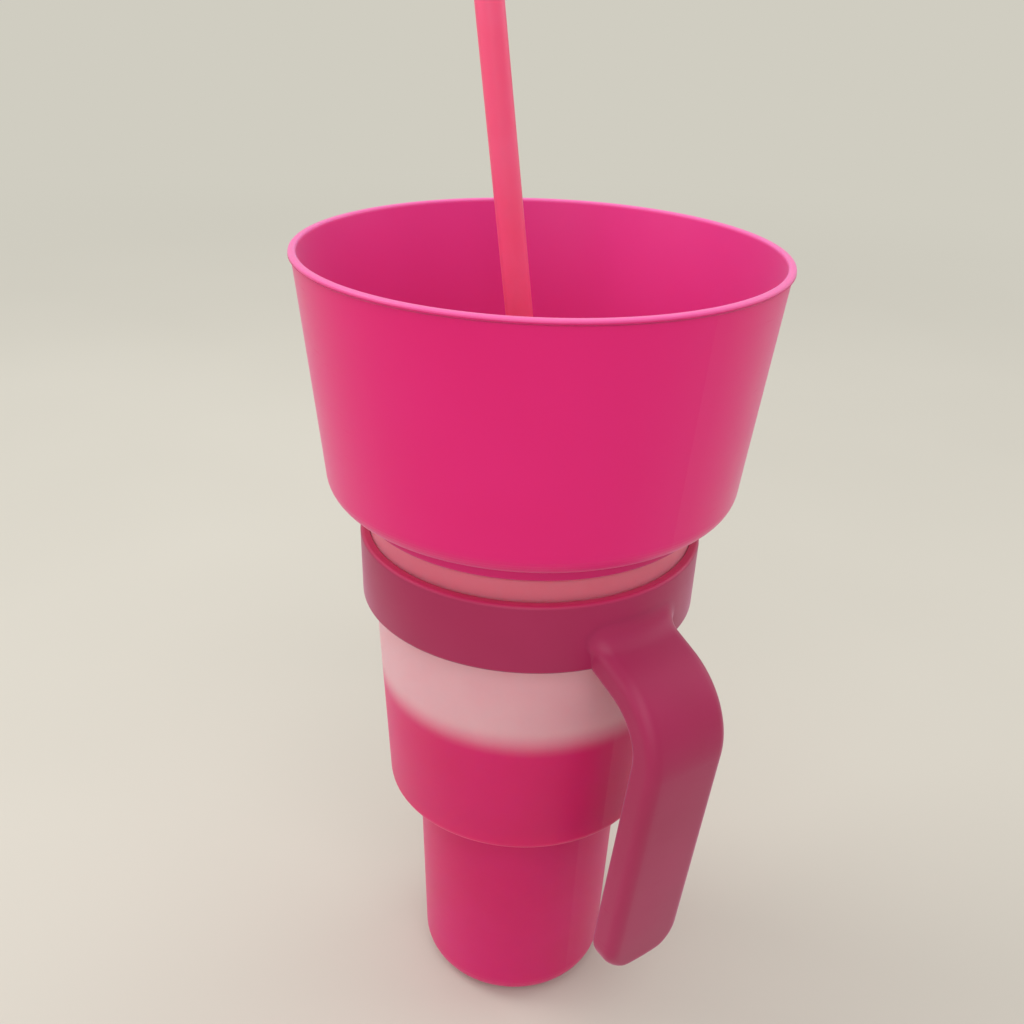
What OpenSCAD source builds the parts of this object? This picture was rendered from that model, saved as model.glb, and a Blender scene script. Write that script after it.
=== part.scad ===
// Two-in-one tumbler: a drinking cup, a snack bowl that screws on top of it,
// a straw that goes down through the bowl, and a push-on handle.
// The origin is the middle of the cup's base, +Z is up, and the arm is on +X.

/* [Cup] */
// Radius of the cup's foot, where the stem meets the table
foot_r = 33.7; // [30:0.1:36]
// Radius of the stem just under the shoulder
stem_top_r = 36.6; // [34:0.1:40]
// Height of the shoulder, where the cup widens
shoulder_z = 84.5; // [60:0.5:100]
// Radius of the wide part at the shoulder
body_low_r = 47; // [44:0.1:50]
// Height of the wide part's cone, from the shoulder up to the neck
body_h = 107; // [100:0.5:112]
// Radius of the wide part at the top of its cone
body_top_r = 53.2; // [52:0.1:55]
// Height of the threaded neck
neck_h = 11.1; // [10.5:0.1:13]
// Thickness of the cup's wall
cup_wall = 2; // [1.5:0.1:3]
// Thickness of the cup's floor
cup_floor = 3; // [2:0.1:4]
// Rounding of the foot
foot_round = 10; // [6:0.5:12]
// Rounding of the shoulder's edge
shoulder_round = 3; // [2:0.5:5]
// Inner radius of the groove under the foot
groove_r = 13; // [10:0.5:15]
// Width of that groove
groove_w = 6; // [4:0.5:8]
// Depth of that groove
groove_d = 1; // [0.5:0.1:1.5]

/* [Thread] */
// Number of thread starts
starts = 3; // [2:1:4]
// Rise of the bowl in one full turn
lead = 12; // [10:0.5:14]
// Length of each thread rib round the neck, in degrees
rib_deg = 110; // [80:5:110]
// Height of a rib at its root
rib_root = 2.3; // [1.6:0.1:2.4]
// Height of a rib at its crest
rib_crest = 1.5; // [0.8:0.1:1.6]
// How far a rib stands out of its wall
rib_depth = 1.2; // [0.9:0.1:1.4]
// Gap between a rib's crest and the wall it faces
thread_gap = 0.3; // [0.2:0.05:0.5]

/* [Bowl] */
// Height of the bowl, from its underside to its rim
bowl_h = 77.5; // [60:0.5:90]
// Outer radius of the rim bead
rim_r = 74.6; // [72:0.1:80]
// Height of the rim bead
bead_h = 1.6; // [1.5:0.1:3]
// How far the bead stands proud of the wall
bead_proud = 0.8; // [0.5:0.1:1.5]
// How far the cup's rim goes up into the bowl's underside
bowl_sink = 4.1; // [3.5:0.1:5]
// Outer radius that the bowl's wall would reach at its underside
bowl_low_r = 65.4; // [62:0.1:68]
// Rounding of the bowl's lower edge, outside
bowl_round = 8; // [5:0.5:10]
// Thickness of the bowl's wall and floor
bowl_wall = 1.5; // [1.2:0.1:2.5]
// Height of the threaded skirt under the bowl
skirt_h = 5.4; // [5:0.1:6]
// Thickness of the skirt
skirt_wall = 2.4; // [2:0.1:3]
// Height of the collar round the straw hole
collar_h = 6; // [3:0.5:10]
// Thickness of that collar
collar_wall = 2; // [1.5:0.1:3]
// Height of the lip that goes down into the cup's mouth
plug_h = 5; // [3:0.5:8]
// Thickness of that lip
plug_wall = 1.6; // [1.2:0.1:2]
// Gap between that lip and the mouth
plug_gap = 1.4; // [0.8:0.1:2]

/* [Seal] */
// Thickness of the soft seal ring
seal_t = 1.8; // [1:0.1:3]
// Gap between the seal ring and the walls beside it
seal_gap = 0.3; // [0.2:0.05:0.5]

/* [Straw] */
// Outer radius of the straw
straw_r = 4.2; // [3:0.1:5]
// Thickness of the straw's wall
straw_wall = 0.8; // [0.5:0.1:1.2]
// Length of the straw
straw_l = 360; // [320:1:400]
// Lean of the straw from upright, in degrees
straw_lean = 7.3; // [0:0.1:7.5]
// Direction of the straw's foot round the cup, from the arm, in degrees
straw_dir = 53.5; // [0:0.5:360]
// Gap between the straw and what it passes or stands on
straw_gap = 0.3; // [0.2:0.05:0.6]

/* [Handle] */
// Distance from the neck down to the ring's lower edge, when the ring is pushed home
ring_drop = 30.7; // [28:0.1:40]
// Height of the ring
ring_h = 23.8; // [18:0.1:26]
// Outer radius of the ring at its lower edge
ring_low_r = 55.5; // [54.5:0.1:58]
// Outer radius of the ring at its upper edge
ring_top_r = 56; // [55:0.1:59]
// Gap between the ring and the cup's cone, when pushed home
ring_gap = 0.08; // [0.05:0.01:0.2]
// Rounding of the ring's outer edges
ring_round = 1.2; // [0.6:0.1:1.5]
// Width of the arm across
arm_w = 31.2; // [28:0.1:34]
// Thickness of the arm, from its inner face to its outer face
arm_t = 12.3; // [10:0.1:14]
// Rounding of the arm's section
arm_round = 5.5; // [3:0.1:6]
// Furthest distance of the arm's centre line from the axis
arm_reach = 77.7; // [74:0.1:80]
// Bend radius of the elbow, on the centre line
elbow_r = 22.7; // [20:0.1:25]
// Depth of the bend's centre below the ring's lower edge
elbow_drop = 21.5; // [20:0.1:26]
// Slope of the arm's straight root below level, in degrees
root_slope = 23.2; // [18:0.1:30]
// Lean of the lower arm towards the cup, in degrees
arm_lean = 7.4; // [0:0.1:8]
// Length of the arm from the ring's lower edge down to its tip
arm_l = 112.4; // [100:0.1:125]
// Length of the arm's rounded tip
tip_l = 11.5; // [8:0.5:16]
// Bluntness of the tip's outline: 2 is an ellipse, and more is squarer
tip_blunt = 2.3; // [2:0.1:4]
// Rounding of the tip's edge, seen from the side
tip_round = 3.7; // [3:0.1:5]

/* [Hidden] */
$fn = 96;

// Cup: the cones of its stem and of its wide part
neck_z = shoulder_z + body_h;
cup_h = neck_z + neck_h;
body_slope = (body_top_r - body_low_r) / body_h;
function body_r(z) = body_low_r + body_slope * (z - shoulder_z);

// Thread: the neck of the cup, the skirt of the bowl and their ribs
pitch = lead / starts;
skirt_in_r = ring_top_r - skirt_wall;
rib_crest_r = skirt_in_r - thread_gap;
neck_r = rib_crest_r - rib_depth;
rib_rise = lead * rib_deg / 360;
rib_clear = 0.2;
rib_sunk = 0.4;
rib_runout = 14;
rib_n = 22;
mouth_r = neck_r - cup_wall;
neck_step = 0.6;

// Bowl: the plateau over the cup's mouth, at the height that the seal sets
bowl_z = cup_h - bowl_sink;
rim_z = bowl_z + bowl_h;
skirt_z = bowl_z - skirt_h;
rib_low = skirt_z + rib_clear + rib_root / 2;
ceiling_z = cup_h + seal_t;
plateau_z = ceiling_z + bowl_wall;
bowl_slope = (rim_r - bead_proud - bowl_low_r) / bowl_h;
function bowl_r(z) = bowl_low_r + bowl_slope * (z - bowl_z);
plug_r = mouth_r - plug_gap;

// Straw: it leans through the middle of the straw hole
straw_run = tan(straw_lean);
hole_h = bowl_wall + collar_h;
hole_r = straw_r / cos(straw_lean) + hole_h / 2 * straw_run + straw_gap;
hole_centre_z = ceiling_z + hole_h / 2;
// The foot of the straw stands in the rounding between the cup's floor and its stem
inner_round = foot_round - cup_wall;
foot_edge_x = (hole_centre_z - cup_floor) * straw_run + straw_r * cos(straw_lean);
foot_into_round = min(inner_round, max(0, foot_edge_x - (foot_r - foot_round)));
foot_rise = inner_round - sqrt(inner_round * inner_round - foot_into_round * foot_into_round);

// Arm: its centre line comes straight out of the bore, bends down and ends in a rounded tip
ring_z = neck_z - ring_drop;
elbow_x = arm_reach - elbow_r;
elbow_z = ring_z - elbow_drop;
root_in = 5.5;
root_l = (elbow_x + elbow_r * sin(root_slope) - body_r(ring_z) + root_in) / cos(root_slope);
bend_a = 90 + arm_lean;
tip_z = ring_z - arm_l;

// Moulding radii: inside corners that nothing touches, outer edges, and corners that the seal sits in
fillet_r = 1.5;
edge_r = 0.4;
tight_r = 0.1;
// Facets of such a corner: the least, to which one is added for each millimetre of radius, and the most
corner_least_n = 2;
corner_most_n = 10;
// How far a cutting body goes past the face that it cuts
cut = 1;

// Facets of the arm: along its bend, along its tip and round each corner of its section
bend_n = 20;
tip_n = 8;
section_n = 5;
// Last station of the tip on its quarter turn, and the largest share of a section that its rounding takes
tip_end_a = 88;
round_share = 0.45;

// A closed outline with rounded corners: each point is [x, y, corner radius]
function unit(v) = v / norm(v);
function flat(p) = [p[0], p[1]];
function corner(a, b, c) =
  let (r = b[2], n = min(corner_most_n, corner_least_n + ceil(r)), q = flat(b),
    u = unit(flat(a) - q), w = unit(flat(c) - q))
  r == 0 ? [q] :
  let (half = acos(u * w) / 2, m = unit(u + w), o = q + m * r / sin(half),
    s = q + u * r / tan(half), e = q + w * r / tan(half),
    a0 = atan2(s[1] - o[1], s[0] - o[0]), a1 = atan2(e[1] - o[1], e[0] - o[0]),
    d = a1 - a0 > 180 ? a1 - a0 - 360 : a1 - a0 < -180 ? a1 - a0 + 360 : a1 - a0)
  [for (i = [0:n]) o + r * [cos(a0 + d * i / n), sin(a0 + d * i / n)]];
function rounded(p) = [
  for (i = [0:len(p) - 1]) each corner(p[(i + len(p) - 1) % len(p)], p[i], p[(i + 1) % len(p)])
];

// One thread rib: a helical ridge whose ends run out into the wall it stands on
module rib(root_r, crest_r, z0, turn) {
  n = rib_n;
  sunk = root_r < crest_r ? -rib_sunk : rib_sunk;
  pts = [for (i = [0:n])
    let (a = rib_deg * i / n, k = min(1, a / rib_runout, (rib_deg - a) / rib_runout),
      r = root_r + (crest_r - root_r) * k, z = z0 + rib_rise * i / n)
    each [for (p = [[root_r + sunk, -rib_root], [r, -rib_crest], [r, rib_crest], [root_r + sunk, rib_root]])
      [p[0] * cos(a), p[0] * sin(a), z + p[1] / 2]]];
  out = crest_r > root_r;
  sides = [for (i = [0:n - 1], j = [0:3])
    let (a = 4 * i + j, b = 4 * i + (j + 1) % 4)
    out ? [a, b, b + 4, a + 4] : [a + 4, b + 4, b, a]];
  ends = out ? [[3, 2, 1, 0], [4 * n, 4 * n + 1, 4 * n + 2, 4 * n + 3]]
    : [[0, 1, 2, 3], [4 * n + 3, 4 * n + 2, 4 * n + 1, 4 * n]];
  rotate([0, 0, turn]) polyhedron(pts, concat(sides, ends));
}

module ribs(root_r, crest_r, z0) {
  for (i = [0:starts - 1]) rib(root_r, crest_r, z0, 360 * i / starts);
}

module cup() {
  color("lightpink", 0.8) {
    rotate_extrude() polygon(rounded([
      [0, 0, 0], [groove_r, 0, edge_r], [groove_r + groove_d, groove_d, edge_r],
      [groove_r + groove_w - groove_d, groove_d, edge_r], [groove_r + groove_w, 0, edge_r],
      [foot_r, 0, foot_round], [stem_top_r, shoulder_z, fillet_r], [body_low_r, shoulder_z, shoulder_round],
      [body_top_r, neck_z, 2 * edge_r], [neck_r, neck_z + neck_step, edge_r], [neck_r, cup_h, edge_r],
      [mouth_r, cup_h, edge_r], [body_low_r - cup_wall, shoulder_z + cup_wall, shoulder_round],
      [stem_top_r - cup_wall, shoulder_z + cup_wall, 2 * fillet_r],
      [foot_r - cup_wall, cup_floor, inner_round], [0, cup_floor, 0]
    ]));
    ribs(neck_r, rib_crest_r, rib_low + pitch / 2);
  }
}

module snack_bowl() {
  moat_z = bowl_z + bowl_wall;
  color("deeppink") {
    rotate_extrude() polygon(rounded([
      [hole_r, ceiling_z, edge_r], [plug_r - plug_wall, ceiling_z, edge_r],
      [plug_r - plug_wall, ceiling_z - plug_h, edge_r], [plug_r, ceiling_z - plug_h, edge_r],
      [plug_r, ceiling_z, tight_r], [skirt_in_r, ceiling_z, tight_r], [skirt_in_r, skirt_z, tight_r],
      [ring_top_r, skirt_z, 2 * edge_r], [ring_top_r, bowl_z, edge_r],
      [bowl_low_r, bowl_z, bowl_round], [rim_r - bead_proud, rim_z - bead_h, edge_r],
      [rim_r, rim_z - bead_h, 2 * edge_r], [rim_r, rim_z, 2 * edge_r],
      [rim_r - bead_proud - bowl_wall, rim_z, 2 * edge_r],
      [bowl_r(moat_z) - bowl_wall, moat_z, bowl_round - bowl_wall],
      [ring_top_r + edge_r, moat_z, fillet_r], [ring_top_r, plateau_z, fillet_r],
      [hole_r + collar_wall, plateau_z, fillet_r], [hole_r + collar_wall, plateau_z + collar_h, 2 * edge_r],
      [hole_r, plateau_z + collar_h, 2 * edge_r]
    ]));
    ribs(skirt_in_r, skirt_in_r - rib_depth, rib_low);
  }
}

module seal_ring() {
  color("whitesmoke")
  rotate_extrude() translate([plug_r + seal_gap, cup_h])
    square([skirt_in_r - plug_r - 2 * seal_gap, seal_t]);
}

// A station of the arm's centre line: [distance from the axis, height, slope below level]
function elbow_at(a) = [elbow_x + elbow_r * sin(a), elbow_z + elbow_r * cos(a), a];
function before_elbow(s) = let (p = elbow_at(root_slope))
  [p[0] - s * cos(root_slope), p[1] + s * sin(root_slope), root_slope];
function below_elbow(s) = let (p = elbow_at(bend_a)) [p[0] + s * cos(bend_a), p[1] - s * sin(bend_a), bend_a];

// A rounded section at a station, of width w and thickness t
function section(p, w, t) = let (r = min(arm_round, round_share * min(w, t)))
  [for (q = [[1, 1, 0], [-1, 1, 90], [-1, -1, 180], [1, -1, 270]], i = [0:section_n])
    let (a = q[2] + 90 * i / section_n,
      u = q[0] * (t / 2 - r) + r * cos(a), v = q[1] * (w / 2 - r) + r * sin(a))
    [p[0] + u * sin(p[2]), v, p[1] + u * cos(p[2])]];

module arm() {
  run = (elbow_at(bend_a)[1] - tip_z) / sin(bend_a);
  stations = concat(
    [section(before_elbow(root_l), arm_w, arm_t)],
    [for (i = [0:bend_n]) section(elbow_at(root_slope + (bend_a - root_slope) * i / bend_n), arm_w, arm_t)],
    [for (i = [0:tip_n]) let (a = sin(tip_end_a * i / tip_n), e = max(0, 1 - (1 - a) * tip_l / tip_round))
      section(below_elbow(run - tip_l * (1 - a)), arm_w * pow(1 - pow(a, tip_blunt), 1 / tip_blunt),
        arm_t - 2 * tip_round * (1 - sqrt(1 - e * e)))]
  );
  m = len(stations[0]);
  n = len(stations);
  sides = [for (i = [0:n - 2], j = [0:m - 1], k = [0, 1])
    let (a = m * i + j, b = m * i + (j + 1) % m)
    k == 0 ? [a, b, b + m] : [a, b + m, a + m]];
  ends = [[for (j = [0:m - 1]) m - 1 - j], [for (j = [0:m - 1]) m * (n - 1) + j]];
  polyhedron([for (s = stations) each s], concat(sides, ends));
}

module handle() {
  ring_top = ring_z + ring_h;
  bore_low = elbow_z;
  color("mediumvioletred")
  difference() {
    union() {
      rotate_extrude() polygon(rounded([
        [body_r(ring_z) - cut, ring_z, 0], [ring_low_r, ring_z, ring_round],
        [ring_top_r, ring_top, ring_round], [body_r(ring_top) - cut, ring_top, 0]
      ]));
      arm();
    }
    translate([0, 0, bore_low])
      cylinder(h = ring_top - bore_low + cut, r1 = body_r(bore_low) + ring_gap,
        r2 = body_r(ring_top + cut) + ring_gap);
  }
}

module straw() {
  foot_lift = straw_gap + straw_r * sin(straw_lean) + foot_rise;
  color("salmon", 0.8)
  rotate([0, 0, straw_dir])
    translate([(hole_centre_z - cup_floor - foot_lift) * straw_run, 0, cup_floor + foot_lift])
      rotate([0, -straw_lean, 0])
        difference() {
          cylinder(h = straw_l, r = straw_r);
          translate([0, 0, -cut]) cylinder(h = straw_l + 2 * cut, r = straw_r - straw_wall);
        }
}

cup();
snack_bowl();
seal_ring();
handle();
straw();
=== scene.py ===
# Looks of the two-in-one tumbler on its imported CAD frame. Pieces are modelled in millimetres and scaled to
# metres when they are finished. The camera, the materials, the floor and the lamps are in metres.
import math

import bmesh
import bpy
from mathutils import Matrix, Vector


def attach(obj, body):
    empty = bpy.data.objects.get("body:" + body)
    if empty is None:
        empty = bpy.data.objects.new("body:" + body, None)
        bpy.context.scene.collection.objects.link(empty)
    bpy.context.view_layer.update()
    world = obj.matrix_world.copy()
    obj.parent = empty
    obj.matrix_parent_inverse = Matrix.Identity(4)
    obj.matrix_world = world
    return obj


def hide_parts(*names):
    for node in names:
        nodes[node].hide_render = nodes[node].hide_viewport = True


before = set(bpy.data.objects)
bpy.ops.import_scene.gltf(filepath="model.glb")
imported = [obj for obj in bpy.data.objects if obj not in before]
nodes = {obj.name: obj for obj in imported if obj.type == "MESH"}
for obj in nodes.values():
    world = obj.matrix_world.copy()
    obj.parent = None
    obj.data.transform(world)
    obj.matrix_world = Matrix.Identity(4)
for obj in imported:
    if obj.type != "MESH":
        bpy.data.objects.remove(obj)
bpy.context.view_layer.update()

MM = 0.001

# ---------------------------------------------------------------- sizes of the CAD model, in millimetres
CONE_Z = 84.5  # lower edge of the cup's wide part
CONE_R = 47.0  # outer radius there
CONE_SLOPE = 6.2 / 107  # how much that radius grows with each millimetre of height

BOWL_Z = 198.5  # underside of the bowl
BOWL_H = 77.5  # height of the bowl from there to its rim
BOWL_LOW_R = 65.4  # outer radius that the wall would reach at the underside
BOWL_WALL = 1.5  # thickness of the wall
RIM_R = 74.6  # outer radius of the bead round the rim
BEAD_H = 1.6  # height of the bead
BEAD_PROUD = 0.8  # how far the bead stands off the wall

RING_Z = 160.8  # lower edge of the handle's ring
RING_H = 23.8  # height of the ring
RING_LOW_R = 55.5  # outer radius at the ring's lower edge
RING_TOP_R = 56.0  # outer radius at its upper edge
RING_ROUND = 1.2  # rounding of its outer edges

ARM_W = 31.2  # width of the arm across
ARM_T = 12.3  # thickness of the arm, from its inner to its outer face
ARM_REACH = 77.7  # furthest distance of the centre line from the axis
ARM_L = 112.4  # length from the ring's lower edge down to the tip
ARM_LEAN = math.radians(7.4)  # lean of the lower arm towards the cup
ROOT_SLOPE = math.radians(23.2)  # slope of the straight root below level
ELBOW_R = 22.7  # bend radius of the centre line
ELBOW_DROP = 21.5  # depth of the bend's centre below the ring's lower edge
TIP_L = 11.5  # length of the rounded tip
TIP_BLUNT = 2.3  # bluntness of the tip's outline: 2 is an ellipse, and more is squarer
TIP_ROUND = 3.7  # rounding of the tip's edge, seen from the side

RIM_Z = BOWL_Z + BOWL_H
BEAD_Z = RIM_Z - BEAD_H
BOWL_TOP_R = RIM_R - BEAD_PROUD
RING_TOP_Z = RING_Z + RING_H
ELBOW_X = ARM_REACH - ELBOW_R
ELBOW_Z = RING_Z - ELBOW_DROP
BEND_END = math.pi / 2 + ARM_LEAN


def cone_r(z):
    """Outer radius of the cup's wide part."""
    return CONE_R + CONE_SLOPE * (z - CONE_Z)


def ring_r(z):
    """Outer radius of the handle's ring."""
    return RING_LOW_R + (RING_TOP_R - RING_LOW_R) * (z - RING_Z) / RING_H


def bowl_r(z):
    """Outer radius of the bowl's wall."""
    return BOWL_LOW_R + (BOWL_TOP_R - BOWL_LOW_R) * (z - BOWL_Z) / BOWL_H


# ---------------------------------------------------------------- small helpers
def srgb(r, g, b):
    """A display colour, 0 to 255, as linear RGBA."""
    def linear(c):
        c /= 255
        return c / 12.92 if c <= 0.04045 else ((c + 0.055) / 1.055) ** 2.4
    return (linear(r), linear(g), linear(b), 1.0)


def added(name, data):
    """A new object in the scene."""
    obj = bpy.data.objects.new(name, data)
    bpy.context.scene.collection.objects.link(obj)
    return obj


def as_object(bm, name):
    """Turns a bmesh into an object in the scene."""
    mesh = bpy.data.meshes.new(name)
    bm.to_mesh(mesh)
    bm.free()
    return added(name, mesh)


def paint(obj, material):
    obj.data.materials.clear()
    obj.data.materials.append(material)


# ---------------------------------------------------------------- camera
# The camera as it was fitted to the photo's circles and outlines: how far it stands behind the object's axis
# and above the table, and how it is tilted
CAM_BACK = 0.34242
CAM_UP = 0.35589
CAM_PITCH = math.radians(26.171)
CAM_YAW = math.radians(-1.010)
CAM_ROLL = math.radians(2.075)
# Its turn round the axis, which brings the arm, on +X, 38 degrees to the right of the camera
CAM_TURN = math.radians(52.0)
# Its focal length and the picture's width, in pixels
FOCAL_PX = 1150
PICTURE_PX = 1024
SENSOR_WIDTH = 36.0


def make_camera():
    forward = Vector((math.sin(CAM_YAW) * math.cos(CAM_PITCH), math.cos(CAM_YAW) * math.cos(CAM_PITCH),
                      -math.sin(CAM_PITCH)))
    level = forward.cross(Vector((0, 0, 1))).normalized()
    upright = level.cross(forward)
    right = math.cos(CAM_ROLL) * level + math.sin(CAM_ROLL) * upright
    up = -math.sin(CAM_ROLL) * level + math.cos(CAM_ROLL) * upright
    stand = Matrix((right, up, -forward)).transposed().to_4x4()
    stand.translation = Vector((0, -CAM_BACK, CAM_UP))
    data = bpy.data.cameras.new("photo_camera")
    data.sensor_width = SENSOR_WIDTH
    data.lens = FOCAL_PX / PICTURE_PX * SENSOR_WIDTH
    data.clip_start = 0.01
    data.clip_end = 60
    camera = added("photo_camera", data)
    camera.matrix_world = Matrix.Rotation(CAM_TURN, 4, "Z") @ stand
    bpy.context.scene.camera = camera


make_camera()


# ---------------------------------------------------------------- materials: helpers
# Contrast of the noise that makes two close shades of colour
SHADE_RANGE = (0.3, 0.7)
# Roughness: scale and contrast of its clouds, and how far they go below and above the middle
ROUGH_SCALE = 18
ROUGH_RANGE = (0.35, 0.65)
ROUGH_BELOW = 0.04
ROUGH_ABOVE = 0.05
# Scuffs: short level marks, so their noise is fine upwards
SCUFF_SCALE = (90, 90, 900)
SCUFF_DETAIL = 6
SCUFF_ROUGH = 0.65
SCUFF_RANGE = (0.60, 0.74)
# Bumps: the faint waves of a moulding and the fine grain of its surface
WAVE_SCALE = 22
WAVE_STRENGTH = 0.5
GRAIN_SCALE = 2600
GRAIN_STRENGTH = 0.6


class Nodes:
    """Builds one procedural material. All its patterns are in Object coordinates."""

    def __init__(self, name):
        self.material = bpy.data.materials.new(name)
        self.material.use_nodes = True
        self.tree = self.material.node_tree
        self.tree.nodes.clear()
        self.bsdf = self.add("ShaderNodeBsdfPrincipled")
        self.put(self.add("ShaderNodeOutputMaterial"), {0: self.bsdf.outputs[0]})
        self.place = self.add("ShaderNodeTexCoord").outputs["Object"]

    def add(self, kind, **settings):
        node = self.tree.nodes.new(kind)
        for name, value in settings.items():
            setattr(node, name, value)
        return node

    def put(self, node, values):
        """Gives a node's inputs constants, or the outputs of other nodes."""
        for name, value in values.items():
            if hasattr(value, "node"):
                self.tree.links.new(value, node.inputs[name])
            else:
                node.inputs[name].default_value = value
        return node

    def shader(self, **values):
        """Gives the shader's inputs their values. An underscore stands for a space in an input's name."""
        self.put(self.bsdf, {name.replace("_", " "): value for name, value in values.items()})

    def sheen(self, weight, rough, tint):
        self.shader(Sheen_Weight=weight, Sheen_Roughness=rough, Sheen_Tint=(*tint, 1.0))

    def scatter(self, weight, radius):
        """Light that spreads inside the plastic, over about this radius in red, green and blue."""
        self.shader(Subsurface_Weight=weight, Subsurface_Radius=radius, Subsurface_Scale=1.0)

    def stretched(self, scale):
        return self.put(self.add("ShaderNodeMapping"), {"Vector": self.place, "Scale": scale}).outputs[0]

    def noise(self, scale, detail, rough=0.5, place=None):
        node = self.add("ShaderNodeTexNoise")
        self.put(node, {"Vector": place or self.place, "Scale": scale, "Detail": detail, "Roughness": rough})
        return node.outputs["Fac"]

    def height(self):
        return self.put(self.add("ShaderNodeSeparateXYZ"), {0: self.place}).outputs["Z"]

    def length(self, vector):
        return self.put(self.add("ShaderNodeVectorMath", operation="LENGTH"), {0: vector}).outputs["Value"]

    def off_axis(self):
        """Distance from the object's upright axis."""
        return self.length(self.stretched((1, 1, 0)))

    def off_origin(self):
        return self.length(self.place)

    def calc(self, operation, a, b):
        return self.put(self.add("ShaderNodeMath", operation=operation), {0: a, 1: b}).outputs[0]

    def span(self, value, low, high, to_low=0.0, to_high=1.0, kind="SMOOTHSTEP"):
        """Maps low to high on to_low to to_high, and holds it beyond both ends."""
        node = self.add("ShaderNodeMapRange", interpolation_type=kind)
        self.put(node, {"Value": value, "From Min": low, "From Max": high, "To Min": to_low,
                        "To Max": to_high})
        return node.outputs[0]

    def mix(self, share, a, b):
        """Mixes two colours: a where the share is 0, and b where it is 1."""
        return self.put(self.add("ShaderNodeMix", data_type="RGBA"), {0: share, 6: a, 7: b}).outputs[2]

    def shades(self, scale, a, b, detail=3):
        """Two close shades of a colour, in soft clouds, with about scale of them to a metre."""
        return self.mix(self.span(self.noise(scale, detail), *SHADE_RANGE), a, b)

    def bump(self, height, strength, distance, under=None):
        """A bump, over another one where that is given."""
        values = {"Height": height, "Strength": strength, "Distance": distance}
        if under is not None:
            values["Normal"] = under
        return self.put(self.add("ShaderNodeBump"), values).outputs[0]

    def moulded(self, rough, grain=0.00002, wave=0.00012, scuffed=0.10):
        """The finish of moulded plastic: cloudy roughness and scuffs, and fine grain over faint waves."""
        clouds = self.span(self.noise(ROUGH_SCALE, 3), *ROUGH_RANGE, rough - ROUGH_BELOW,
                           rough + ROUGH_ABOVE)
        marks = self.noise(1.0, SCUFF_DETAIL, SCUFF_ROUGH, self.stretched(SCUFF_SCALE))
        scuffs = self.span(marks, *SCUFF_RANGE, 0.0, scuffed)
        waves = self.bump(self.noise(WAVE_SCALE, 2), WAVE_STRENGTH, wave) if wave else None
        surface = self.bump(self.noise(GRAIN_SCALE, 3), GRAIN_STRENGTH, grain, waves)
        self.shader(Roughness=self.calc("ADD", clouds, scuffs), Normal=surface)


# ---------------------------------------------------------------- materials: one for each plastic
# Heights over which the colours change, in metres
# Painted shade: below this height the skirt under the bowl is painted darker
PAINTED_SHADE_UNDERSIDE_ENDS = ((BOWL_Z - 0.4) * MM, (BOWL_Z + 0.3) * MM)
# Painted light: from this height up, the bowl's inner wall is painted paler
PAINTED_LIGHT_INSIDE_STARTS = (0.212, 0.226)
# Painted highlight: from this height up, the bead round the rim is painted paler
BEAD_HIGHLIGHT_STARTS = ((BEAD_Z + 0.2) * MM, RIM_Z * MM)
# Painted light: from this height up, the ring's upper edge is painted lighter
RING_EDGE_LIGHT_STARTS = ((RING_TOP_Z - 1.1) * MM, RING_TOP_Z * MM)
PINK_ENDS = (0.124, 0.136)
# Painted glow: from this height up, the frosted wall is painted pinker for the bowl's reflected light
PAINTED_GLOW_STARTS = (0.165, 0.187)
# How far the edge of the chilled pink may wander from its lowest to its highest
PINK_WANDERS = 0.006
# Distance either side of the middle of the bowl's wall over which the inner wall's painted paler colour, a
# painted light, becomes the outer one
WALL_BLUR = 0.0002
# Share of the painted highlight's pale colour in the bead, and share of clear plastic in the frosted wall
BEAD_HIGHLIGHT = 0.5
FROST_CLEAR = 0.1


def bowl_material():
    """Satin hot pink. Its inner wall is painted paler, a painted light that offsets how the light between the
    walls deepens it again; its skirt is painted darker as painted shade, and its bead paler as a painted
    highlight.
    """
    m = Nodes("bowl_plastic")
    colour = m.shades(9, srgb(213, 20, 107), srgb(218, 26, 115))
    middle = m.span(m.height(), BOWL_Z * MM, RIM_Z * MM, (BOWL_LOW_R - BOWL_WALL / 2) * MM,
                    (BOWL_TOP_R - BOWL_WALL / 2) * MM, kind="LINEAR")
    # painted light: the inner wall is painted paler, to offset the light between the walls that deepens it
    inside = m.span(m.calc("SUBTRACT", middle, m.off_axis()), -WALL_BLUR, WALL_BLUR)
    inside = m.calc("MULTIPLY", inside, m.span(m.height(), *PAINTED_LIGHT_INSIDE_STARTS))
    colour = m.mix(inside, colour, srgb(219, 56, 138))
    # painted shade: the skirt under the bowl is painted darker
    colour = m.mix(m.span(m.height(), *PAINTED_SHADE_UNDERSIDE_ENDS), srgb(200, 24, 104), colour)
    # painted highlight: the bead round the rim is painted paler
    bead = m.calc("MULTIPLY", m.span(m.height(), *BEAD_HIGHLIGHT_STARTS), BEAD_HIGHLIGHT)
    colour = m.mix(bead, colour, srgb(250, 138, 205))
    m.shader(Base_Color=colour, Specular_IOR_Level=0.26)
    m.moulded(0.38)
    m.sheen(0.2, 0.4, (0.86, 0.80, 1.0))
    m.scatter(0.15, (0.004, 0.0012, 0.0016))
    return m.material


def handle_material():
    """Satin deep pink, with the ring's upper edge painted lighter, a painted light for what comes down
    through the bowl.
    """
    m = Nodes("handle_plastic")
    colour = m.shades(14, srgb(151, 11, 70), srgb(159, 17, 78))
    # painted light: the ring's upper edge is painted lighter, for the light that comes down through the bowl
    colour = m.mix(m.span(m.height(), *RING_EDGE_LIGHT_STARTS), colour, srgb(190, 34, 92))
    m.shader(Base_Color=colour, Specular_IOR_Level=0.45)
    m.moulded(0.48)
    m.sheen(0.35, 0.35, (1.0, 0.70, 0.94))
    m.scatter(0.08, (0.003, 0.001, 0.0012))
    return m.material


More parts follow.
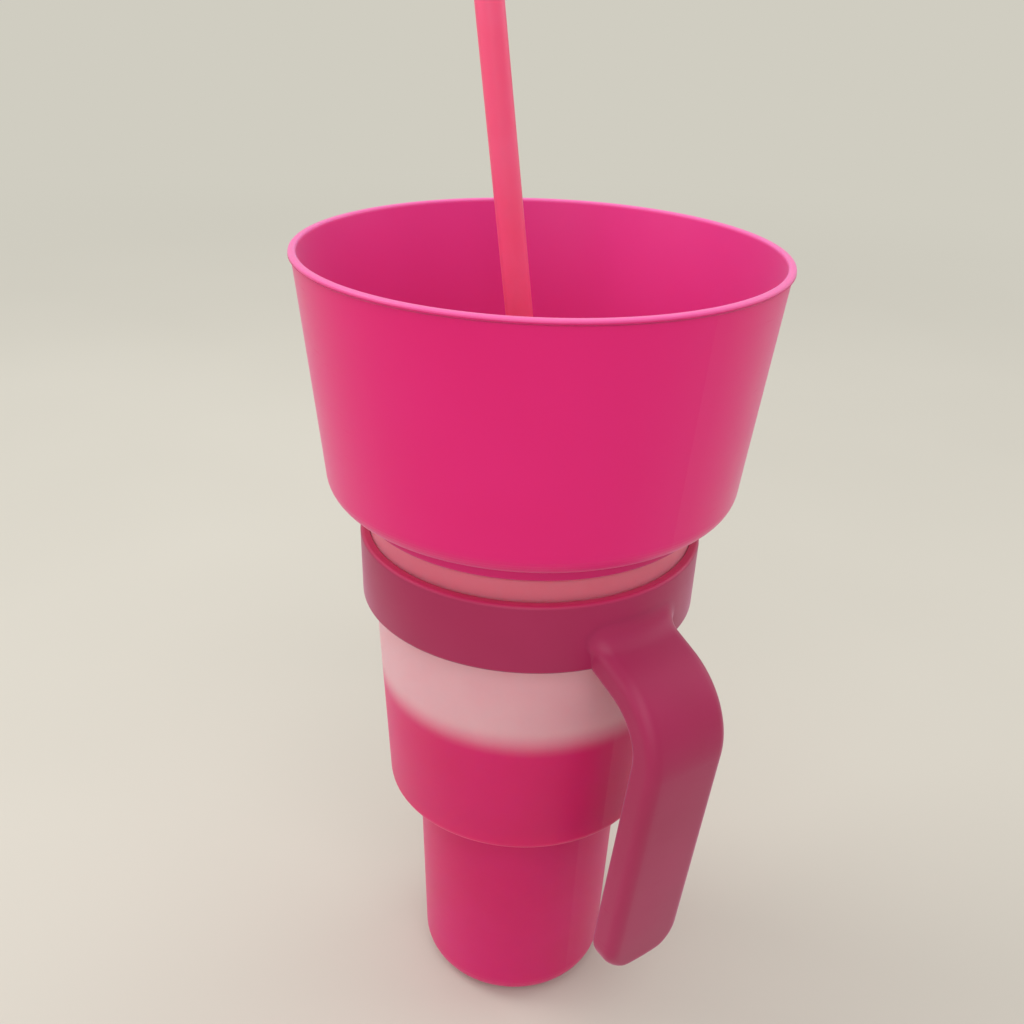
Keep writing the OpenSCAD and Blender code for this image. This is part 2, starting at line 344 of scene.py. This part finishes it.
def cup_material():
    """Frosted plastic, pink up to where the drink chills it, and painted pinker near the top as a painted
    glow of the bowl's pink light.
    """
    m = Nodes("frosted_plastic")
    wander = m.calc("MULTIPLY", m.calc("SUBTRACT", m.noise(12, 3), 0.5), PINK_WANDERS)
    clear = m.span(m.calc("ADD", m.height(), wander), *PINK_ENDS)
    frost = m.shades(30, srgb(239, 163, 173), srgb(243, 171, 179), detail=4)
    # painted glow: the frosted wall near the top is painted pinker, for the bowl's reflected pink light
    frost = m.mix(m.span(m.height(), *PAINTED_GLOW_STARTS), frost, srgb(240, 112, 134))
    pink = m.shades(16, srgb(203, 13, 91), srgb(209, 20, 101))
    m.shader(Base_Color=m.mix(clear, pink, frost), IOR=1.49, Specular_IOR_Level=0.25,
             Transmission_Weight=m.calc("MULTIPLY", clear, FROST_CLEAR))
    m.moulded(0.48, grain=0.00003)
    m.sheen(0.15, 0.5, (1.0, 0.72, 0.85))
    m.scatter(0.8, (0.012, 0.007, 0.007))
    return m.material


def straw_material():
    """Glossy coral pink tube, too smooth for waves or scuffs."""
    m = Nodes("straw_plastic")
    m.shader(Base_Color=m.shades(40, srgb(255, 84, 126), srgb(255, 92, 134)), Specular_IOR_Level=0.35)
    m.moulded(0.36, grain=0.00001, wave=0.0, scuffed=0.0)
    m.scatter(0.4, (0.004, 0.002, 0.002))
    return m.material


def seal_material():
    """Soft pale silicone."""
    m = Nodes("seal_rubber")
    m.shader(Base_Color=m.shades(60, srgb(222, 220, 214), srgb(232, 230, 226)))
    m.moulded(0.5)
    m.scatter(0.3, (0.002, 0.002, 0.002))
    return m.material


# ---------------------------------------------------------------- shapes: helpers
# Segments of a rounded edge, and the angle from which an edge is shaded as a sharp one
EDGE_N = 6
SHARP_FROM = math.radians(32)


def placed(ring, places):
    for vert, place in zip(ring, places):
        vert.co = place


def edges_of(bm, ring):
    return [bm.edges.get(pair) for pair in zip(ring, ring[1:] + ring[:1])]


def grown(bm, ring, places):
    """Extrudes a closed ring of vertices and puts the new one at the given places."""
    made = set(bmesh.ops.extrude_edge_only(bm, edges=edges_of(bm, ring))["geom"])
    new = [next(e.other_vert(v) for e in v.link_edges if e.other_vert(v) in made) for v in ring]
    placed(new, places)
    return new


def turned(bm, corners, spokes):
    """Turns an outline of (radius, height, rounding) corners round the axis."""
    verts = [bm.verts.new((r, 0, z)) for r, z, _ in corners]
    bm.faces.new(verts)
    for size in sorted({rounding for _, _, rounding in corners} - {0}):
        rounded = [vert for vert, corner in zip(verts, corners) if corner[2] == size]
        bmesh.ops.bevel(bm, geom=rounded, offset=size, offset_type="OFFSET", segments=EDGE_N, profile=0.5,
                        affect="VERTICES", material=-1, clamp_overlap=True)
    (outline,) = bm.faces
    edges = outline.edges[:]
    bmesh.ops.delete(bm, geom=[outline], context="FACES_ONLY")
    bmesh.ops.spin(bm, geom=edges, cent=(0, 0, 0), axis=(0, 0, 1), angle=2 * math.pi, steps=spokes,
                   use_merge=True)


def finished(bm, name, body):
    """Turns a bmesh in millimetres into a piece that rides on a CAD body."""
    bmesh.ops.scale(bm, vec=(MM, MM, MM), verts=bm.verts)
    bmesh.ops.recalc_face_normals(bm, faces=bm.faces)
    for edge in bm.edges:
        edge.smooth = edge.calc_face_angle(0) < SHARP_FROM
    for face in bm.faces:
        face.smooth = True
    piece = as_object(bm, name)
    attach(piece, body)
    return piece


# ---------------------------------------------------------------- handle, in millimetres
# What the moulding adds to the CAD sizes: the rounding of the arm's section and the crown of its broad faces,
# the rounding of the ring's inner edges, and the gaps to the cup from the ring and from the arm's hidden end
ARM_ROUND = 4.2
ARM_CROWN = 0.4
BORE_ROUND = 0.4
BORE_GAP = 0.1
ROOT_GAP = 0.3
# Fillet where the arm meets the ring: its length along the arm and up the ring, the share of both at the
# arm's sides, the height over which it fades out at the ring's lower edge, its least rise, and how far its
# end stands proud of the ring
FILLET_ALONG = 7.0
FILLET_UP = 7.5
FILLET_SIDE = 0.15
FILLET_FADE = 7.0
FILLET_LEAST = 0.05
FILLET_PROUD = 0.01
# Most of the section's smaller side that its rounding takes up, near the tip
ROUND_SHARE = 0.45
# How far round the tip its last row lies, where 90 degrees is the very end
TIP_LAST = math.radians(89)
# Facets of the ring, and points on each corner, broad face and narrow side of the arm's section
RING_SPOKES = 240
CORNER_N = 9
FACE_N = 12
SIDE_N = 2
# Rows round the bend, over the tip, over the fillet and from the hidden end's edge to its middle
BEND_N = 40
TIP_N = 18
FILLET_N = 12
HIDDEN_N = 4
# Rounds of the search for where the arm meets a cone
SEARCH_N = 30


def section_loop(w, t):
    """Outline of the arm's section as (thickness, width) pairs, which starts on the outer face."""
    r = min(ARM_ROUND, ROUND_SHARE * min(w, t))
    outline = []
    for quarter, (su, sv) in enumerate(((1, 1), (-1, 1), (-1, -1), (1, -1))):
        cu, cv = su * (t / 2 - r), sv * (w / 2 - r)
        turns = [math.pi / 2 * (quarter + k / (CORNER_N - 1)) for k in range(CORNER_N)]
        outline += [(cu + r * math.cos(a), cv + r * math.sin(a)) for a in turns]
        u, v = outline[-1]
        on_side = quarter % 2 == 0
        next_u, next_v = (-cu, cv + sv * r) if on_side else (cu + su * r, -cv)
        steps = (SIDE_N if on_side else FACE_N) + 1
        outline += [(u + (next_u - u) * k / steps, v + (next_v - v) * k / steps) for k in range(1, steps)]
    return [(u * (1 - 2 * ARM_CROWN / t * (2 * v / w) ** 2), v) for u, v in outline]


def at(station, u, v):
    """The point (u, v) of a section that stands at a station of the centre line."""
    x, z, slope = station
    return Vector((x + u * math.sin(slope), v, z + u * math.cos(slope)))


def elbow_at(slope):
    """The station (x, z, slope) of the bend where it slopes this much below level."""
    return (ELBOW_X + ELBOW_R * math.sin(slope), ELBOW_Z + ELBOW_R * math.cos(slope), slope)


def on_cone(p):
    """The point of the cup's cone, plus the gap, at p's height and direction."""
    grow = (cone_r(p.z) + ROOT_GAP) / math.hypot(p.x, p.y)
    return Vector((p.x * grow, p.y * grow, p.z))


def root_column(u, v, out):
    """Places from the bend back over the fillet to the hidden end, for the point (u, v) of the section.

    out is the section's outward direction there.
    """
    start = at(elbow_at(ROOT_SLOPE), u, v)
    along = Vector((math.cos(ROOT_SLOPE), 0, -math.sin(ROOT_SLOPE)))

    def back_to(radius):
        """Follows the straight root from the bend back to a surface of revolution."""
        s = 0.0
        for _ in range(SEARCH_N):
            z = start.z + s * math.sin(ROOT_SLOPE)
            s = (start.x - math.sqrt(radius(z) ** 2 - v * v)) / math.cos(ROOT_SLOPE)
        return start - along * s

    # where the bare arm meets the ring, and where its hidden end stops short of the cup
    hit, inner = back_to(ring_r), back_to(lambda z: cone_r(z) + ROOT_GAP)
    wall = Vector((hit.x, hit.y, 0)).normalized()
    up = (out - wall * out.dot(wall)).normalized()
    fade = min(1, max(0, (hit.z - RING_Z - RING_ROUND) / FILLET_FADE))
    fade = fade * fade * (3 - 2 * fade)
    size = FILLET_SIDE + (1 - FILLET_SIDE) * max(0, out.z)
    # the fillet's ends, on the ring and on the arm, and a place just inside the ring's wall
    far = hit + up * (FILLET_LEAST + FILLET_UP * size * fade)
    grow = (ring_r(far.z) + FILLET_PROUD) / math.hypot(far.x, far.y)
    far = Vector((far.x * grow, far.y * grow, far.z))
    near = hit + along * FILLET_ALONG * size
    sunk = (hit - along).lerp(Vector((far.x - wall.x, far.y - wall.y, far.z)), fade)
    shares = [i / FILLET_N for i in range(FILLET_N + 1)]
    curve = [near * (1 - t) ** 2 + hit * 2 * t * (1 - t) + far * t * t for t in shares]
    return [near.lerp(start, 0.5)] + curve + [sunk, inner]


def root_rows(loop):
    """Rows of places from the bend to the middle of the arm's hidden end in the ring's wall."""
    columns = []
    for k, (u, v) in enumerate(loop):
        (u0, v0), (u1, v1) = loop[k - 1], loop[(k + 1) % len(loop)]
        out = at((0, 0, ROOT_SLOPE), v1 - v0, u0 - u1).normalized()
        columns.append(root_column(u, v, out))
    rows = [list(row) for row in zip(*columns)]
    last = rows[-1]
    middle = on_cone(sum(last, Vector()) / len(loop))
    for k in range(1, HIDDEN_N):
        rows.append([on_cone(p.lerp(middle, k / HIDDEN_N)) for p in last])
    return rows + [[middle] * len(loop)]


def make_elbow(bm, loop):
    """Spins the arm's section round the elbow, and returns its first and last rings."""
    circle = bmesh.ops.create_circle(bm, segments=len(loop), radius=ARM_T)["verts"]
    first = sorted(circle, key=lambda vert: math.atan2(vert.co.y, vert.co.x))
    placed(first, [at(elbow_at(ROOT_SLOPE), u, v) for u, v in loop])
    swept = bmesh.ops.spin(bm, geom=edges_of(bm, first), cent=(ELBOW_X, 0, ELBOW_Z), axis=(0, 1, 0),
                           angle=BEND_END - ROOT_SLOPE, steps=BEND_N)["geom_last"]
    verts = [item for item in swept if isinstance(item, bmesh.types.BMVert)]
    end = elbow_at(BEND_END)
    last = [min(verts, key=lambda vert: (vert.co - at(end, u, v)).length) for u, v in loop]
    return first, last


def grow_tip(bm, ring, loop):
    """Grows the straight lower arm and its rounded tip, and returns the tip's last ring."""
    x, z, slope = elbow_at(BEND_END)
    run = (z - (RING_Z - ARM_L)) / math.sin(slope)

    def below(s):
        """The station at this distance below the bend."""
        return (x + s * math.cos(slope), z - s * math.sin(slope), slope)

    ring = grown(bm, ring, [at(below(run - TIP_L), u, v) for u, v in loop])
    for i in range(1, TIP_N + 1):
        done = math.sin(TIP_LAST * i / TIP_N)
        edge = max(0, 1 - (1 - done) * TIP_L / TIP_ROUND)
        w = ARM_W * (1 - done ** TIP_BLUNT) ** (1 / TIP_BLUNT)
        t = ARM_T - 2 * TIP_ROUND * (1 - math.sqrt(1 - edge * edge))
        station = below(run - TIP_L * (1 - done))
        ring = grown(bm, ring, [at(station, u, v) for u, v in section_loop(w, t)])
    return grown(bm, ring, [at(below(run), 0, 0)] * len(loop))


def grow_root(bm, ring, loop):
    """Grows the fillet and the hidden end in the ring's wall, and returns the last ring."""
    for row in root_rows(loop):
        ring = grown(bm, ring, row)
    return ring


def make_arm(bm):
    loop = section_loop(ARM_W, ARM_T)
    first, last = make_elbow(bm, loop)
    tip = grow_tip(bm, last, loop)
    hidden = grow_root(bm, first, loop)
    for point in (tip, hidden):
        bmesh.ops.pointmerge(bm, verts=point, merge_co=point[0].co)


def make_handle():
    """The ring and the arm as one moulding, in place of the faceted CAD one."""
    bm = bmesh.new()
    turned(bm, [(cone_r(RING_Z) + BORE_GAP, RING_Z, BORE_ROUND),
                (cone_r(RING_TOP_Z) + BORE_GAP, RING_TOP_Z, BORE_ROUND),
                (RING_TOP_R, RING_TOP_Z, RING_ROUND),
                (RING_LOW_R, RING_Z, RING_ROUND)], RING_SPOKES)
    make_arm(bm)
    piece = finished(bm, "handle_moulding", "handle")
    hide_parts("handle")
    return piece


# ---------------------------------------------------------------- rim of the bowl, in millimetres
# Run-out under the bead: how far its top goes up into the bead, how much lower its ledge meets the wall, its
# height, the rounding of the corner between ledge and wall, how far its foot stands proud of the wall, and
# how deep it is sunk in the wall
RUNOUT_IN_BEAD = 0.35
RUNOUT_LEDGE = 0.5
RUNOUT_H = 1.8
RUNOUT_ROUND = 0.8
RUNOUT_FOOT = 0.02
RUNOUT_SUNK = 0.5
# Facets round the rim
RIM_SPOKES = 288


def make_rim_fillet():
    """The soft run-out under the rim bead."""
    top = BEAD_Z + RUNOUT_IN_BEAD
    ledge = top - RUNOUT_LEDGE
    low = top - RUNOUT_H
    bm = bmesh.new()
    turned(bm, [(RIM_R, top, 0),
                (bowl_r(ledge), ledge, RUNOUT_ROUND),
                (bowl_r(low) + RUNOUT_FOOT, low, 0),
                (bowl_r(low) - RUNOUT_SUNK, low, 0),
                (bowl_r(top) - RUNOUT_SUNK, top, 0)], RIM_SPOKES)
    return finished(bm, "bowl_rim_fillet", "bowl")


# ---------------------------------------------------------------- pieces and their materials
paint(make_handle(), handle_material())
bowl_plastic = bowl_material()
paint(make_rim_fillet(), bowl_plastic)
paint(nodes["snack_bowl"], bowl_plastic)
paint(nodes["cup"], cup_material())
paint(nodes["straw"], straw_material())
paint(nodes["seal_ring"], seal_material())

# ---------------------------------------------------------------- stage and light
BACKDROP = srgb(208, 205, 193)
FLOOR_R = 14.0
FLOOR_N = 96
# Distances between which the lit floor passes into the evenly glowing backdrop
FLOOR_GLOWS = (0.35, 1.7)
WORLD_COLOUR = (1.0, 0.985, 0.95, 1)
WORLD_STRENGTH = 0.59


def make_floor():
    bm = bmesh.new()
    bmesh.ops.create_circle(bm, cap_ends=True, segments=FLOOR_N, radius=FLOOR_R)
    floor = as_object(bm, "floor")
    m = Nodes("floor")
    far = m.span(m.off_origin(), *FLOOR_GLOWS)
    near_colour = m.shades(1.6, srgb(200, 197, 187), srgb(206, 203, 193))
    m.shader(Base_Color=m.mix(far, near_colour, srgb(0, 0, 0)), Roughness=0.9, Specular_IOR_Level=0.0,
             Emission_Color=BACKDROP, Emission_Strength=far)
    paint(floor, m.material)


def make_world():
    """A soft even light, with the backdrop's colour where the camera looks past the floor."""
    world = bpy.data.worlds.new("studio")
    bpy.context.scene.world = world
    world.use_nodes = True
    tree = world.node_tree
    tree.nodes.clear()
    out = tree.nodes.new("ShaderNodeOutputWorld")
    seen = tree.nodes.new("ShaderNodeBackground")
    seen.inputs["Color"].default_value = BACKDROP
    light = tree.nodes.new("ShaderNodeBackground")
    light.inputs["Color"].default_value = WORLD_COLOUR
    light.inputs["Strength"].default_value = WORLD_STRENGTH
    path = tree.nodes.new("ShaderNodeLightPath")
    mix = tree.nodes.new("ShaderNodeMixShader")
    tree.links.new(path.outputs["Is Camera Ray"], mix.inputs[0])
    tree.links.new(light.outputs[0], mix.inputs[1])
    tree.links.new(seen.outputs[0], mix.inputs[2])
    tree.links.new(mix.outputs[0], out.inputs[0])


def make_lamp(name, place, aim_z, size, power, colour):
    """A round lamp that aims at a height on the axis. For its place, the camera looks along +Y."""
    data = bpy.data.lights.new(name, "AREA")
    data.shape = "DISK"
    data.size = size
    data.energy = power
    data.color = colour
    lamp = added(name, data)
    lamp.location = Matrix.Rotation(CAM_TURN, 3, "Z") @ Vector(place)
    lamp.rotation_mode = "QUATERNION"
    lamp.rotation_quaternion = (Vector((0, 0, aim_z)) - lamp.location).to_track_quat("-Z", "Y")


make_floor()
make_world()
make_lamp("key", (-1.3, 0.2, 1.5), 0.15, 0.9, 10, (1.0, 0.99, 0.97))
make_lamp("side", (-1.8, -0.7, 0.6), 0.15, 1.0, 4.5, (1.0, 0.98, 1.0))
make_lamp("top", (0.0, 0.3, 2.0), 0.1, 2.0, 9, (1.0, 0.99, 0.98))
make_lamp("front", (-0.3, -2.0, 1.0), 0.15, 1.5, 12, (1.0, 0.98, 1.0))
make_lamp("high", (0.3, -1.3, 1.9), 0.15, 1.0, 7, (1.0, 0.98, 1.0))
make_lamp("fill", (1.6, 0.6, 0.9), 0.15, 1.4, 6.5, (0.98, 0.98, 1.0))

bpy.context.scene.view_settings.view_transform = "Standard"
